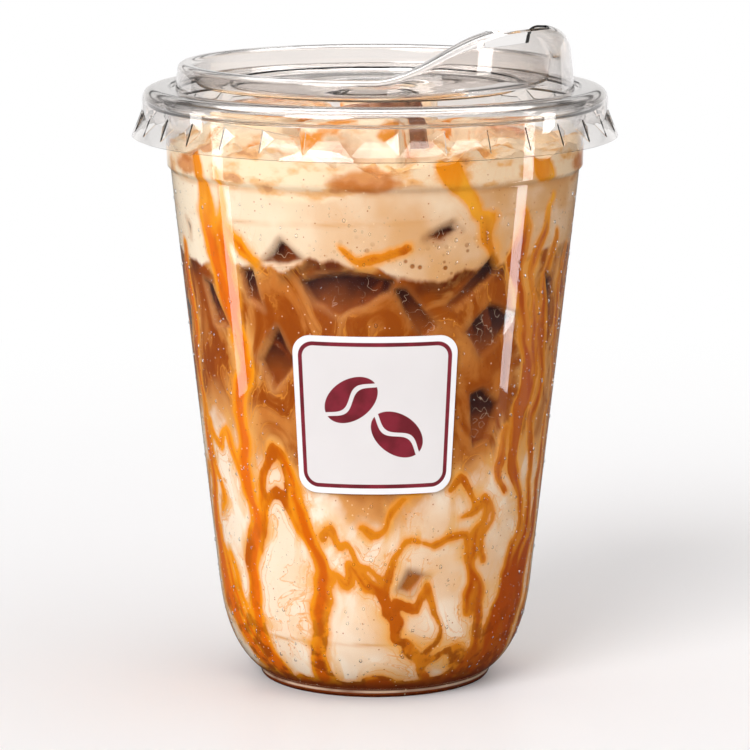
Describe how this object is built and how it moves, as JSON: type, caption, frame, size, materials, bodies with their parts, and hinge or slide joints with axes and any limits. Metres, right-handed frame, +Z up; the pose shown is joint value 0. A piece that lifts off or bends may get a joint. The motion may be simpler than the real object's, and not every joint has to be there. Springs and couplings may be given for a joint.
{
  "type": "iced caramel latte",
  "caption": "Iced caramel latte in a clear round-heeled cup with a clear sip lid: caramel, milk, coffee and cream in layers, with ice standing out of the cream.",
  "frame": {"origin": "centre of the foot ring, on the table", "axes": "+Z up along the cup's axis, -Y towards the sticker"},
  "size_m": [0.104, 0.104, 0.1424],
  "materials": {
    "clear_cup": "clear gloss",
    "clear_lid": "clear gloss",
    "sticker": "satin film",
    "caramel": "wet gloss",
    "milk": "milky liquid",
    "coffee": "milky liquid",
    "cream": "soft foam",
    "ice": "wet ice"
  },
  "bodies": {
    "root": {"cup": "clear_cup", "lid": "clear_lid", "sticker": "sticker", "caramel_pool": "caramel", "milk": "milk", "coffee": "coffee", "cream": "cream", "ice_1": "ice", "ice_2": "ice", "ice_3": "ice", "ice_4": "ice", "ice_5": "ice", "ice_6": "ice"}
  },
  "joints": []
}
